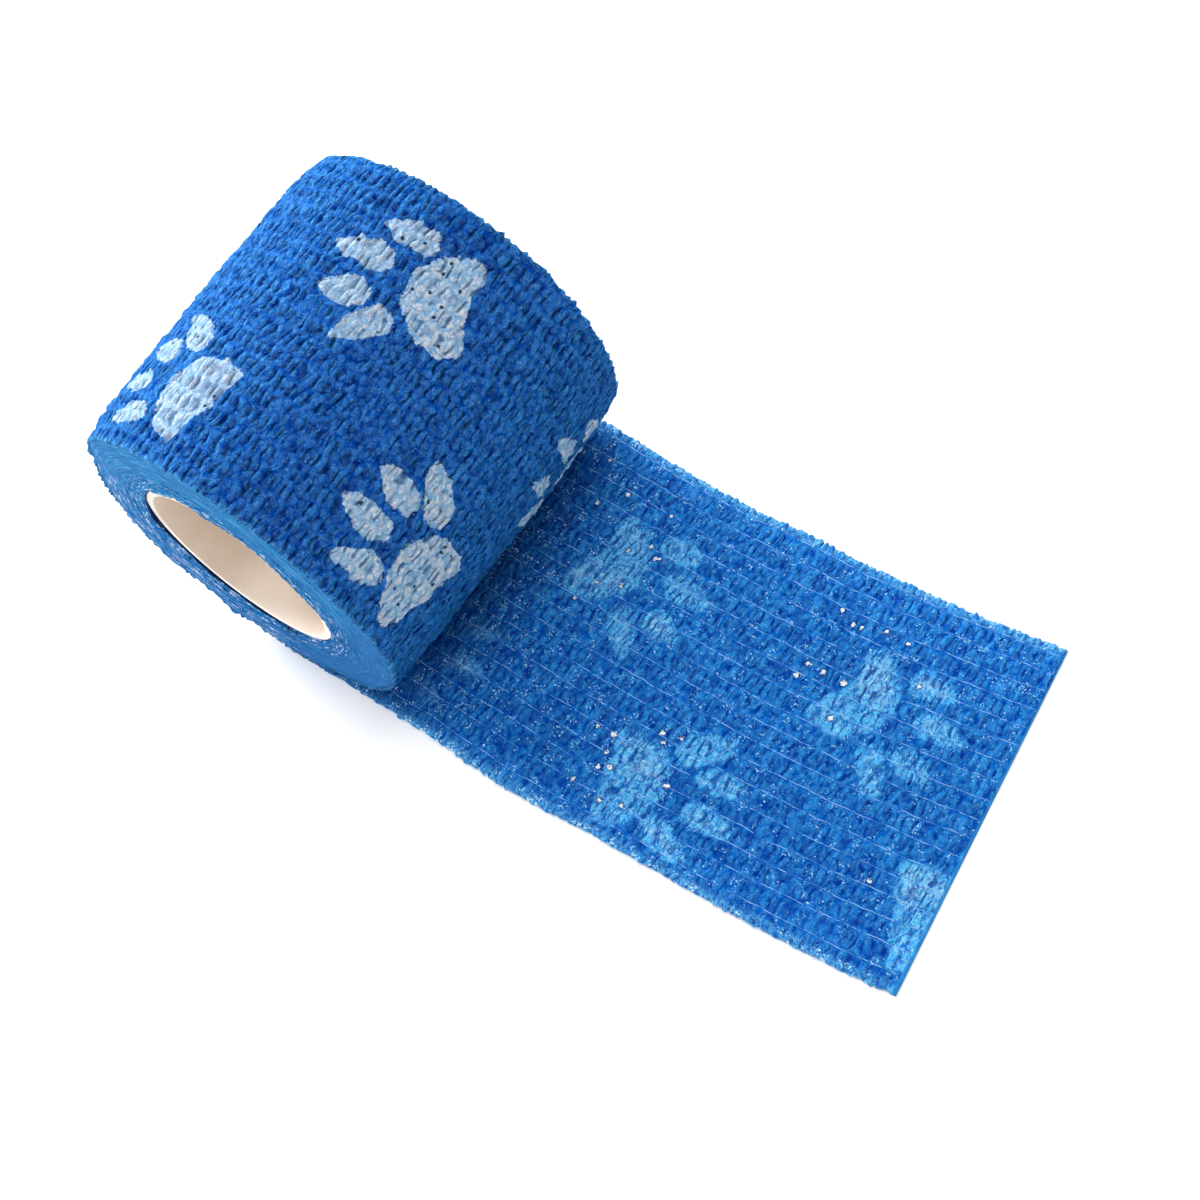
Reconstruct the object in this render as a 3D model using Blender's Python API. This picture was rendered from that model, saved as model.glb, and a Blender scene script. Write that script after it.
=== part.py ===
"""A roll of cohesive bandage on its core, with a loose end drawn out along the surface it rests on.

The cloth is one strip, 50 mm wide. It is wound on a thin-walled tube, and its last stretch leaves
the roll at the bottom and lies flat, bending a little in its own plane. Metres, +Z up, with +X along
the loose end and +Y along the roll's axis. The origin is the middle of the whole footprint.
"""

import math

import bmesh
import bpy

MM = 0.001

# The strip of cloth
WIDTH = 50.0 * MM
SHEET = 1.0 * MM  # thickness of the loose end, puckers included
TURN = 0.55 * MM  # radius that one pressed turn adds
LOOSE_LENGTH = 95.0 * MM  # from the line where the cloth leaves the roll to its cut end

# The roll
ROLL_RADIUS = 26.2 * MM  # at the outermost turn, where the cloth leaves the roll
FLAT = 0.3 * MM  # how far the roll's weight presses its underside flat
ROLL_STEPS = 112
COLUMNS = 10  # strips of facets across the width

# The core, a plain tube
CORE_RADIUS = 15.05 * MM
CORE_WALL = 1.0 * MM
CORE_LENGTH = 49.4 * MM
CORE_STEPS = 96
GAP = 0.3 * MM  # between the core and the first turn

# Which way the loose end heads at each distance from the roll
LOOSE_COLUMNS = ("distance_mm", "heading_deg", "rise_mm")
LOOSE_END = (
    (0.0, 0.0, 0.00),
    (25.0, -1.0, 0.08),
    (50.0, 0.3, 0.16),
    (75.0, 4.1, 0.10),
    (95.0, 8.8, 0.14),
)
LOOSE_STEP = 3.0 * MM

CENTRE_HEIGHT = ROLL_RADIUS - FLAT


def clear_scene():
    for obj in list(bpy.data.objects):
        bpy.data.objects.remove(obj, do_unlink=True)


def from_table(distance, column):
    """The value of one column of LOOSE_END at this distance, on a smooth curve through its rows."""
    at = LOOSE_COLUMNS.index(column)
    d = distance / MM
    rows = LOOSE_END
    i = max(0, min(len(rows) - 2, sum(row[0] <= d for row in rows) - 1))

    def slope(k):
        a, b = rows[max(k - 1, 0)], rows[min(k + 1, len(rows) - 1)]
        return (b[at] - a[at]) / (b[0] - a[0])

    span = rows[i + 1][0] - rows[i][0]
    t = max(0.0, min(1.0, (d - rows[i][0]) / span))
    t2, t3 = t * t, t * t * t
    return (
        (2 * t3 - 3 * t2 + 1) * rows[i][at]
        + (t3 - 2 * t2 + t) * span * slope(i)
        + (3 * t2 - 2 * t3) * rows[i + 1][at]
        + (t3 - t2) * span * slope(i + 1)
    )


def centre_line(length, step=0.25 * MM):
    """Where the middle of the loose end is, as (x, y, heading), this far along it."""
    x = y = 0.0
    n = max(1, round(length / step))
    for k in range(n):
        heading = math.radians(from_table((k + 0.5) * length / n, "heading_deg"))
        x += math.cos(heading) * length / n
        y += math.sin(heading) * length / n
    return x, y, math.radians(from_table(length, "heading_deg"))


def roll_radius(turned):
    """The outer radius, this many radians back along the cloth from where it leaves the roll."""
    return ROLL_RADIUS - TURN * turned / (2 * math.pi)


def nip_angle():
    """How far up the next turn in, past the lowest line, the loose end's upper face meets it."""
    angle = 0.0
    while (
        CENTRE_HEIGHT - roll_radius(2 * math.pi - angle) * math.cos(angle) < SHEET
    ):
        angle += 1e-4
    return angle


def side_loops():
    """The outer and inner outline of the wound cloth in its side view, as (x, z), point for point."""
    nip = nip_angle()
    outer, inner = [], []
    bore = (CORE_RADIUS + GAP) / math.cos(math.pi / ROLL_STEPS)
    for k in range(ROLL_STEPS + 1):
        up = nip + (2 * math.pi - nip) * k / ROLL_STEPS
        r = roll_radius(2 * math.pi - up)
        outer.append((r * math.sin(up), max(0.0, CENTRE_HEIGHT - r * math.cos(up))))
        inner.append((bore * math.sin(up), CENTRE_HEIGHT - bore * math.cos(up)))
    outer.append((outer[0][0], 0.0))
    half = nip / 2
    inner.append((bore * math.sin(half), CENTRE_HEIGHT - bore * math.cos(half)))
    return outer, inner


def closed_loop(bm, points, y):
    verts = [bm.verts.new((x, y, z)) for x, z in points]
    return [bm.edges.new((a, b)) for a, b in zip(verts, verts[1:] + verts[:1])]


def draw_out(bm, faces, keep):
    """Extrudes these faces, and returns the new ones with their points, which are still in place."""
    made = bmesh.ops.extrude_face_region(bm, geom=faces)["geom"]
    old = [f for f in faces if f.is_valid]
    if not keep and old:
        bmesh.ops.delete(bm, geom=old, context="FACES")
    made = [g for g in made if g.is_valid]
    return (
        [g for g in made if isinstance(g, bmesh.types.BMFace)],
        [g for g in made if isinstance(g, bmesh.types.BMVert)],
    )


def loose_point(distance, across, upper):
    """A point of the loose end: this far from the roll, this far across, on its upper or lower face."""
    x, y, heading = centre_line(distance)
    x -= math.sin(heading) * across
    y += math.cos(heading) * across
    z = 0.0
    if upper:
        # The puckered cloth swells in long low waves that run across it at a slant.
        wave = math.sin(distance / (11.0 * MM) + across / (19.0 * MM))
        z = SHEET + from_table(distance, "rise_mm") * MM * (0.5 + 0.5 * wave)
    return x, y, z


def make_bandage():
    bm = bmesh.new()
    outer, inner = side_loops()
    rim = closed_loop(bm, outer, -WIDTH / 2)
    bore = closed_loop(bm, inner, -WIDTH / 2)
    region = bmesh.ops.bridge_loops(bm, edges=rim + bore)["faces"]

    # The wound cloth is its side view drawn out along the axis. The first end face stays.
    for k in range(COLUMNS):
        region, moved = draw_out(bm, region, keep=k == 0)
        bmesh.ops.translate(bm, verts=moved, vec=(0, WIDTH / COLUMNS, 0))

    # The loose end grows from the upright strip of faces under the nip.
    root = outer[0][0]
    front = [
        f
        for f in bm.faces
        if all(abs(v.co.x - root) < 1e-6 and v.co.z < SHEET * 1.05 for v in f.verts)
    ]
    steps = math.ceil((LOOSE_LENGTH - root) / LOOSE_STEP)
    distance = root
    for k in range(1, steps + 1):
        x, y, heading = centre_line(distance) if k > 1 else (root, 0.0, 0.0)
        distance = root + (LOOSE_LENGTH - root) * k / steps
        front, moved = draw_out(bm, front, keep=False)
        for v in moved:
            # Each column keeps its place across the strip from one section to the next.
            across = (v.co.y - y) * math.cos(heading) - (v.co.x - x) * math.sin(heading)
            across = round(across / WIDTH * COLUMNS) * WIDTH / COLUMNS
            v.co = loose_point(distance, across, v.co.z > SHEET / 2)
    bmesh.ops.recalc_face_normals(bm, faces=bm.faces)
    return finish(bm, "bandage")


def make_core():
    """A short rectangle, the cut through the wall, turned about the roll's axis."""
    bm = bmesh.new()
    half = CORE_LENGTH / 2
    wall = (CORE_RADIUS - CORE_WALL, CORE_RADIUS)
    corners = ((wall[0], -half), (wall[1], -half), (wall[1], half), (wall[0], half))
    verts = [bm.verts.new((r, y, 0)) for r, y in corners]
    edges = [bm.edges.new((a, b)) for a, b in zip(verts, verts[1:] + verts[:1])]
    bmesh.ops.spin(
        bm,
        geom=verts + edges,
        cent=(0, 0, 0),
        axis=(0, 1, 0),
        angle=2 * math.pi,
        steps=CORE_STEPS,
        use_merge=True,
    )
    bmesh.ops.remove_doubles(bm, verts=bm.verts, dist=1e-7)
    bmesh.ops.recalc_face_normals(bm, faces=bm.faces)
    core = finish(bm, "core")
    core.location = (0, 0, CENTRE_HEIGHT)
    return core


def finish(bm, name):
    mesh = bpy.data.meshes.new(name)
    bm.to_mesh(mesh)
    bm.free()
    mesh.shade_smooth()
    mesh.set_sharp_from_angle(angle=math.radians(35))
    obj = bpy.data.objects.new(name, mesh)
    bpy.context.scene.collection.objects.link(obj)
    return obj


def give_material(obj, name, colour, roughness):
    material = bpy.data.materials.new(name)
    material.use_nodes = True
    shader = material.node_tree.nodes["Principled BSDF"]
    shader.inputs["Base Color"].default_value = (*colour, 1)
    shader.inputs["Roughness"].default_value = roughness
    shader.inputs["Metallic"].default_value = 0.0
    material.diffuse_color = (*colour, 1)
    obj.data.materials.append(material)


def middle(obj, axis):
    values = [v.co[axis] for v in obj.data.vertices]
    return (min(values) + max(values)) / 2


def main():
    clear_scene()
    bandage = make_bandage()
    core = make_core()
    give_material(bandage, "blue puckered cloth", (0.012, 0.110, 0.440), 0.85)
    give_material(core, "cream board", (0.80, 0.70, 0.58), 0.60)
    base = bpy.data.objects.new("cohesive_bandage_roll", None)
    bpy.context.scene.collection.objects.link(base)
    base.location = (-middle(bandage, 0), -middle(bandage, 1), 0)
    for obj in (bandage, core):
        obj.parent = base


main()
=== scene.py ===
"""Looks of the cohesive bandage roll: puckered cloth with its print, its elastic threads, the edges
of its wound turns, and the board core. Lengths in the tables and noise are millimetres along and
across the strip; `along` is 0 where the cloth leaves the roll, positive on the loose end and
negative back round the roll, and `across` runs from -25 to 25 with the roll's axis.
"""

import math

import bmesh
import bpy
import numpy as np
from mathutils import Matrix, Vector


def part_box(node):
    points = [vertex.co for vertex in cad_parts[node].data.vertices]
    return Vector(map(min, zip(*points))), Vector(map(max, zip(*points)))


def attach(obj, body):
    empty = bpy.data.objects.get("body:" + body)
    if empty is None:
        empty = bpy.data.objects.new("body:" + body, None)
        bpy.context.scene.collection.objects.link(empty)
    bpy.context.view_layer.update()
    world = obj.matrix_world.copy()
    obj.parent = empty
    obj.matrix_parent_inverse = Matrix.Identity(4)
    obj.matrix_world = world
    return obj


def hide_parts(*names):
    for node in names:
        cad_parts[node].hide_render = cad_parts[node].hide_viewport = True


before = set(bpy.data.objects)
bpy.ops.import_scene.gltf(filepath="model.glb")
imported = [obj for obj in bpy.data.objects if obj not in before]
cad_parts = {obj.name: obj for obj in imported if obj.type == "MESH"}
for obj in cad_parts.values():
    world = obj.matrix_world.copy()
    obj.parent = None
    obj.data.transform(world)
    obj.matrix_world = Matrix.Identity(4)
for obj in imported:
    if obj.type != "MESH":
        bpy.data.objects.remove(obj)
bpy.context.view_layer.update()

MM = 0.001

# ---------------------------------------------------------------- sizes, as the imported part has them
core_low, core_high = (np.array(c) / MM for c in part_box("core"))
AXIS_X = (core_low[0] + core_high[0]) / 2
AXIS_Y = (core_low[1] + core_high[1]) / 2
CENTRE_Z = (core_low[2] + core_high[2]) / 2
WIDTH = 50.0
HALF = WIDTH / 2
TURN = 0.55
ROLL_RADIUS = 26.2
CORE_RADIUS = 15.05
CORE_WALL = 1.0
CORE_HALF = 24.7
BORE = CORE_RADIUS + 0.3
LOOSE_LENGTH = 95.0
HEADING = ((0.0, 0.0), (25.0, -1.0), (50.0, 0.3), (75.0, 4.1), (95.0, 8.8))

# How the two edges of the strip lie: how far each stands out past 25 mm, along the loose end
EDGE_COLUMNS = ("along", "near_out", "far_out")
LOOSE_EDGES = (
    (0.0, 0.1, 0.3),
    (17.0, 0.1, 0.4),
    (25.0, 0.2, 0.0),
    (31.0, 0.45, -0.3),
    (37.0, 0.7, -0.35),
    (43.0, 0.35, -0.3),
    (49.0, 0.05, 0.0),
    (54.0, 0.0, 0.15),
    (60.0, -0.15, -0.1),
    (68.0, 0.0, -0.05),
    (78.0, 0.25, -0.15),
    (86.0, 0.6, -0.2),
    (95.4, 0.95, -0.2),
)
# and on the roll, where each edge stands in from 25 mm and sinks below the round
LIE_COLUMNS = ("turned_deg", "near_in", "near_down", "far_in", "far_down")
ROLL_EDGES = (
    (0.0, 0.0, 0.0, 0.1, 0.1),
    (20.0, 0.1, 0.0, 0.1, 0.1),
    (30.0, -0.3, 0.0, 0.1, 0.1),
    (40.0, 0.15, 0.0, 0.15, 0.2),
    (55.0, -0.35, 0.0, 0.2, 0.2),
    (75.0, 0.05, 0.1, 0.3, 0.3),
    (92.0, 0.35, 0.5, 0.3, 0.4),
    (108.0, 0.8, 1.0, 0.35, 0.5),
    (122.0, 0.6, 0.7, 0.45, 0.6),
    (135.0, 0.3, 0.3, 0.55, 0.7),
    (150.0, 0.1, 0.1, 0.5, 0.5),
    (180.0, 0.0, 0.1, 0.1, 0.15),
    (203.0, 0.0, 0.1, -0.1, 0.0),
    (228.0, 0.0, 0.1, -0.25, -0.1),
    (250.0, 0.0, 0.1, 0.0, 0.0),
    (280.0, 0.1, 0.1, 0.15, 0.4),
    (305.0, 0.1, 0.1, 0.2, 0.5),
    (335.0, 0.1, 0.1, 0.1, 0.2),
    (360.0, 0.0, 0.0, 0.1, 0.1),
)

# The cloth
PUCKER = 1.42  # from one furrow to the next
THREAD_PITCH = 2.73
THREADS = 18
FIRST_THREAD = 23.7  # across, near the far edge
THREAD_RADIUS = 0.045

# The print: where the middle of each pad is, the way its toes point, and which of two paws it is
PAW_COLUMNS = ("along", "across", "turn_deg", "kind")
PAWS = (
    (72.2, 7.4, -11.0, 0),
    (94.6, -15.6, 15.0, 1),
    (52.2, -16.6, 13.0, 1),
    (29.8, 7.8, -5.0, 0),
    (9.0, -15.4, 15.0, 1),
    (-13.3, 12.4, -12.0, 0),
    (-34.4, -15.4, 15.0, 1),
    (-55.6, 12.4, -12.0, 0),
    (-77.9, -15.2, 10.0, 1),
    (-97.8, 12.5, -12.0, 0),
    (-118.6, -15.2, 16.0, 1),
    (-140.6, 12.4, -12.0, 0),
    (-161.0, -15.4, 15.0, 1),
)
TOE_COLUMNS = ("distance", "angle_deg", "half_long", "half_wide", "tilt_deg")
TOES = (
    (
        (10.1, 45.0, 3.8, 1.95, 8.0),
        (12.4, 13.5, 4.2, 1.95, 3.0),
        (12.6, -14.0, 3.4, 2.0, -6.0),
        (10.5, -39.0, 4.2, 1.95, -43.0),
    ),
    (
        (11.0, 43.0, 4.5, 2.15, 24.0),
        (12.0, 15.5, 3.8, 1.9, -2.0),
        (11.7, -11.0, 4.1, 1.9, -12.0),
        (9.5, -42.0, 4.2, 1.9, -32.0),
    ),
)
# The pads: how far the edge is from the middle, in each direction from the way the toes point
PAD_COLUMNS = ("direction_deg", "reach")
PADS = (
    (
        (-180.0, 3.1),
        (-165.0, 3.7),
        (-148.0, 5.3),
        (-133.0, 7.3),
        (-118.0, 6.9),
        (-98.0, 6.2),
        (-60.0, 5.3),
        (-20.0, 5.1),
        (15.0, 5.2),
        (42.0, 5.7),
        (75.0, 6.4),
        (98.0, 7.7),
        (112.0, 7.9),
        (123.0, 6.7),
        (134.0, 4.4),
        (152.0, 3.1),
        (180.0, 3.1),
    ),
    (
        (-180.0, 4.0),
        (-155.0, 4.3),
        (-135.0, 5.6),
        (-118.0, 7.5),
        (-100.0, 6.8),
        (-72.0, 5.5),
        (-42.0, 4.7),
        (-12.0, 4.7),
        (18.0, 5.0),
        (45.0, 5.6),
        (70.0, 6.5),
        (95.0, 7.2),
        (112.0, 8.2),
        (122.0, 8.6),
        (133.0, 6.6),
        (152.0, 4.8),
        (180.0, 4.0),
    ),
)
# Small holes worn through the loose end beside the print
HOLE_COLUMNS = ("along", "across", "radius")
HOLES = (
    (19.0, 20.7, 0.26),
    (24.7, 17.8, 0.30),
    (21.7, 14.6, 0.36),
    (32.8, 12.9, 0.34),
    (34.5, 11.7, 0.34),
    (62.6, 17.7, 0.36),
    (65.2, 16.6, 0.36),
    (66.5, 16.6, 0.30),
    (73.8, 17.3, 0.28),
    (63.0, 9.0, 0.40),
    (65.5, 8.9, 0.38),
    (62.5, 6.9, 0.40),
    (68.9, 8.7, 0.46),
    (43.2, -12.2, 0.34),
    (45.8, -12.0, 0.42),
    (51.4, -8.6, 0.42),
    (48.3, -16.1, 0.40),
    (46.9, -16.9, 0.34),
    (56.4, -14.5, 0.40),
    (70.2, 3.7, 0.42),
    (86.1, -13.7, 0.28),
    (19.9, 9.7, 0.24),
    (32.3, 18.1, 0.20),
    (35.3, 12.0, 0.24),
    (30.3, 11.0, 0.30),
    (32.9, 6.1, 0.26),
    (29.5, 4.8, 0.26),
    (28.3, 1.4, 0.28),
    (70.0, 17.5, 0.28),
    (78.5, 12.6, 0.34),
    (52.4, -9.6, 0.26),
    (54.2, -7.9, 0.24),
    (46.6, -14.6, 0.34),
    (45.0, -19.9, 0.30),
    (49.8, -20.6, 0.34),
    (52.9, -19.8, 0.32),
)


# ---------------------------------------------------------------- repeatable noise
def chance(ix, iy, seed):
    """A number from 0 to 1 for each whole-numbered place."""
    ix, iy = np.asarray(ix), np.asarray(iy)
    h = (
        ix.astype(np.int64) * 374761393
        + iy.astype(np.int64) * 668265263
        + seed * 974711
    ) & 0xFFFFFFFF
    h = ((h ^ (h >> 13)) * 1274126177) & 0xFFFFFFFF
    h = ((h ^ (h >> 15)) * 2246822519) & 0xFFFFFFFF
    return (h ^ (h >> 16)) / 4294967295.0


def noise(x, y, seed=0):
    """Smooth noise from about -1 to 1, with bumps about one unit wide."""
    x, y = np.broadcast_arrays(np.asarray(x, float), np.asarray(y, float))
    ix, iy = np.floor(x), np.floor(y)
    fx, fy = x - ix, y - iy
    ux, uy = (t * t * t * (t * (t * 6 - 15) + 10) for t in (fx, fy))

    def corner(dx, dy):
        a = chance(ix + dx, iy + dy, seed) * 2 * math.pi
        return np.cos(a) * (fx - dx) + np.sin(a) * (fy - dy)

    low = corner(0, 0) * (1 - ux) + corner(1, 0) * ux
    high = corner(0, 1) * (1 - ux) + corner(1, 1) * ux
    return 1.6 * (low * (1 - uy) + high * uy)


def kernels(x, y, seed):
    """Round bumps about one unit apart, scattered: 1 on top of each, and 0 in the creases between."""
    x, y = np.broadcast_arrays(np.asarray(x, float), np.asarray(y, float))
    ix, iy = np.floor(x), np.floor(y)
    best = np.full(x.shape, 9.0)
    for dx in (-1, 0, 1):
        for dy in (-1, 0, 1):
            cx, cy = ix + dx, iy + dy
            px = cx + 0.15 + 0.7 * chance(cx, cy, seed)
            py = cy + 0.15 + 0.7 * chance(cx, cy, seed + 1)
            best = np.minimum(best, (x - px) ** 2 + (y - py) ** 2)
    return np.clip(1 - best / 0.55, 0, 1)


def smooth(t):
    t = np.clip(t, 0.0, 1.0)
    return t * t * (3 - 2 * t)


def from_table(table, column, at):
    rows = np.array(table)
    return np.interp(at, rows[:, 0], rows[:, column])


# ---------------------------------------------------------------- the strip's own shape
def headings():
    rows = np.array(HEADING)
    d, h = rows[:, 0], np.radians(rows[:, 1])
    slope = np.gradient(h, d)
    at = np.linspace(0, LOOSE_LENGTH + 1, 1921)
    i = np.clip(np.searchsorted(d, at, side="right") - 1, 0, len(d) - 2)
    span = d[i + 1] - d[i]
    t = (at - d[i]) / span
    t2, t3 = t * t, t * t * t
    turn = (
        (2 * t3 - 3 * t2 + 1) * h[i]
        + (t3 - 2 * t2 + t) * span * slope[i]
        + (3 * t2 - 2 * t3) * h[i + 1]
        + (t3 - t2) * span * slope[i + 1]
    )
    mid = (turn[1:] + turn[:-1]) / 2
    step = at[1] - at[0]
    x = np.concatenate([[0], np.cumsum(np.cos(mid) * step)])
    y = np.concatenate([[0], np.cumsum(np.sin(mid) * step)])
    return at, turn, x, y


LINE = headings()


def loose_xy(along, across):
    at, turn, x, y = LINE
    h = np.interp(along, at, turn)
    px = np.interp(along, at, x) - np.sin(h) * across
    py = np.interp(along, at, y) + np.cos(h) * across
    return px, py


def turned(along):
    """Radians back round the roll from the contact line, for a place at along <= 0."""
    back = np.maximum(-np.asarray(along, float), 0)
    b = TURN / (4 * math.pi)
    return (ROLL_RADIUS - np.sqrt(np.maximum(ROLL_RADIUS**2 - 4 * b * back, 0))) / (
        2 * b
    )


def roll_radius(angle):
    return ROLL_RADIUS - TURN * angle / (2 * math.pi)


def roll_edge(angle, side, what):
    """How far the near (-1) or far (1) edge of the last turn stands in, or sinks."""
    at = np.degrees(angle)
    near = from_table(ROLL_EDGES, {"in": 1, "down": 2}[what], at)
    far = from_table(ROLL_EDGES, {"in": 3, "down": 4}[what], at)
    return np.where(np.asarray(side) < 0, near, far)


def on_roll(angle, across, radius):
    x = -np.sin(angle) * radius
    z = CENTRE_Z - np.cos(angle) * radius
    return np.stack([x + 0 * across, across + 0 * angle, z + 0 * across], -1)


def placed(points):
    """From millimetres about the contact line to the row frame in metres."""
    return (points + np.array([AXIS_X, AXIS_Y, 0.0])) * MM


# ---------------------------------------------------------------- puckers
def thread_gap(across):
    """Distance to the nearest elastic thread."""
    k = np.clip(np.round((FIRST_THREAD - across) / THREAD_PITCH), 0, THREADS - 1)
    return np.abs(across - (FIRST_THREAD - k * THREAD_PITCH))


def by_lane(across, value):
    """value(lane, place across the lane), which differs from lane to lane, blended over the threads."""
    c = (FIRST_THREAD - across) / THREAD_PITCH
    k = np.floor(c)
    t = c - k
    following = 0.5 * smooth((t - 0.8) / 0.2)
    before = 0.5 * smooth((0.2 - t) / 0.2)
    own = 1 - following - before
    return (
        value(k, c - k) * own
        + value(k + 1, c - k - 1) * following
        + value(k - 1, c - k + 1) * before
    )


def lane_shift(along, across, seed):
    """How far the furrows are shifted, in puckers. Each lane between two threads has its own."""

    def off(lane, t):
        bow = noise(along / 1.9, lane * 2.9 + 40, seed + 2)
        slant = noise(along / 2.7, lane * 7.7 + 11, seed + 3)
        return (
            0.8 * (chance(lane, lane * 3, seed + 5) - 0.5)
            + 0.60 * noise(along / 6.0, lane * 5.17, seed)
            + 0.42 * noise(along / 2.2, lane * 3.71 + 90, seed + 1)
            + 0.62 * bow * ((2 * t - 1) ** 2 - 0.33)
            + 0.70 * slant * (t - 0.5)
        )

    return by_lane(across, off) + 0.2 * noise(along / 14, across / 16, seed + 4)


def furrow_rows(length, steps, across, seed):
    """Rows of points that follow the puckers, so that each furrow has a row of its own.
    Returns distance[i, j] from the start, and the phase of each row, in puckers."""
    puckers = round(length / PUCKER)
    rows = puckers * steps
    dense = np.linspace(0, length, 5 * rows)
    ends = smooth(np.minimum(dense, length - dense) / 3.0)
    distance = np.empty((rows + 1, len(across)))
    phase = np.linspace(0, puckers, rows + 1)
    for j, v in enumerate(across):
        p = dense / PUCKER + lane_shift(dense, np.full_like(dense, v), seed) * ends
        least = 0.3 * dense / PUCKER
        p = np.maximum.accumulate(p - least) + least
        p = (p - p[0]) / (p[-1] - p[0]) * puckers
        distance[:, j] = np.interp(phase, p, dense)
    return distance, phase


def relief(distance, across, phase, seed, depth, lumpy):
    """The height of the face in mm, about -depth in a furrow and 0 on a swell, and the same from 0 to 1."""
    x = phase - np.floor(phase)
    furrow, swell = np.round(phase), np.floor(phase)
    off = np.abs(phase - furrow)

    def crease(lane, t):
        strength = 0.45 + 0.65 * chance(furrow, lane, seed + 20)
        faint = chance(furrow, lane, seed + 21) < 0.08
        width = 0.15 + 0.12 * chance(furrow, lane, seed + 22)
        broken = np.clip(0.85 + 0.75 * noise(across / 0.95, furrow * 5.3, seed + 25), 0.2, 1.4)
        return np.where(faint, 0.12, strength) * broken * np.exp(-((off / width) ** 1.5))

    def lift(lane, t):
        return 0.75 * (chance(swell, lane, seed + 23) - 0.5)

    gap = thread_gap(across)
    held = 0.12 + 0.88 * smooth((gap - 0.08) / 0.62)
    slow = np.clip(
        0.9 + 0.45 * noise(distance / 7.0, across / 6.0, seed + 11), 0.4, 1.3
    )
    arch = np.sin(math.pi * x)
    down = (by_lane(across, crease) + 0.30 * (1 - arch**0.8)) * slow
    up = by_lane(across, lift) * arch
    lumps = 0.20 * noise(distance / 0.8, across / 1.0, seed + 12)
    lumps += 0.52 * (kernels(distance / 0.95, across / 1.0, seed + 16) - 0.6)
    lumps += 0.24 * noise(distance / 1.3, across / 1.4, seed + 14)
    lumps += 0.22 * noise(distance / 2.3, across / 2.1, seed + 13)
    high = 1 + (up - down) * held + lumpy * lumps * (0.4 + 0.6 * held)
    height = depth * (high - 1) - 0.15 * np.exp(-((gap / 0.36) ** 2))
    return height, high


def paw_distance(along, across, phase, seed, slips):
    """Distance in mm to the edge of the nearest printed shape, below 0 inside it. The cloth was
    printed drawn out, so each pucker has moved its own slice of the shape a little."""
    swell = np.floor(phase)

    def slip(part):
        return lambda lane, t: chance(swell, lane, seed + part) - 0.5

    moved_along = (
        along
        + 0.42 * slips * by_lane(across, slip(1))
        + 0.35 * noise(along / 3.1, across / 2.7, seed)
    )
    moved_across = (
        across
        + 0.55 * slips * by_lane(across, slip(2))
        + 0.35 * noise(along / 2.6, across / 3.0, seed + 3)
    )

    def oval(px, py, a, b):
        k0 = np.sqrt((px / a) ** 2 + (py / b) ** 2)
        k1 = np.sqrt((px / a**2) ** 2 + (py / b**2) ** 2)
        return k0 * (k0 - 1) / np.maximum(k1, 1e-9)

    best = np.full(np.broadcast(along, across).shape, 6.0)
    for at, over, turn, kind in PAWS:
        small = {-140.6: 0.8, -77.9: 0.9}.get(at, 1.0)
        slim = 0.92 if at == -77.9 else 1.0
        near = (np.abs(along - at - 4) < 21) & (np.abs(across - over) < 21)
        if not near.any():
            continue
        dx, dy = (moved_along - at)[near], (moved_across - over)[near]
        t = math.radians(turn)
        px, py = (
            dx * math.cos(t) + dy * math.sin(t),
            dy * math.cos(t) - dx * math.sin(t),
        )
        reach = from_table(PADS[kind], 1, np.degrees(np.arctan2(py, px)))
        d = (np.hypot(px, py) - reach * slim) * 0.85
        for distance, angle, long, wide, tilt in TOES[kind]:
            a, q = math.radians(angle), math.radians(tilt)
            tx, ty = px - distance * math.cos(a), py - distance * math.sin(a)
            rx, ry = (
                tx * math.cos(q) + ty * math.sin(q),
                ty * math.cos(q) - tx * math.sin(q),
            )
            d = np.minimum(d, oval(rx, ry * (1 + 0.07 * rx), long * small, wide * small))
        best[near] = np.minimum(best[near], d)
    return best


def hole_distance(along, across):
    best = np.full(np.broadcast(along, across).shape, 3.0)
    for at, over, radius in HOLES:
        best = np.minimum(best, np.hypot(along - at, across - over) - 0.8 * radius)
    return best


# ---------------------------------------------------------------- meshes
COARSE_LANE = (0.0, 0.1, 0.22, 0.36, 0.5, 0.64, 0.78, 0.9)
FINE_LANE = (0.0, 0.09, 0.2, 0.35, 0.5, 0.65, 0.8, 0.91)


def columns(lane):
    """Places across the strip: those of lane between each two threads, and more at each edge to round it."""
    threads = FIRST_THREAD - THREAD_PITCH * np.arange(THREADS)
    inner = [th - THREAD_PITCH * t for th in threads[:-1] for t in lane]
    far = [HALF - e for e in (0.0, 0.08, 0.22, 0.45, 0.8)]
    near = [-HALF + e for e in (0.0, 0.08, 0.22, 0.45, 0.8, 1.2, 1.7)]
    return np.array(sorted(far + inner + [threads[-1]] + near))


def build(name, points, faces):
    mesh = bpy.data.meshes.new(name)
    mesh.from_pydata(points.tolist(), [], faces)
    bm = bmesh.new()
    bm.from_mesh(mesh)
    bmesh.ops.recalc_face_normals(bm, faces=bm.faces)
    if bm.calc_volume(signed=True) < 0:
        bmesh.ops.reverse_faces(bm, faces=bm.faces)
    bm.to_mesh(mesh)
    bm.free()
    mesh.shade_smooth()
    obj = bpy.data.objects.new(name, mesh)
    bpy.context.scene.collection.objects.link(obj)
    return obj


def give(obj, name, values):
    """A value for each point, which the material reads."""
    values = np.asarray(values, np.float32)
    kind = "FLOAT" if values.ndim == 1 else "FLOAT_VECTOR"
    attribute = obj.data.attributes.new(name, kind, "POINT")
    attribute.data.foreach_set("value" if kind == "FLOAT" else "vector", values.ravel())


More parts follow.
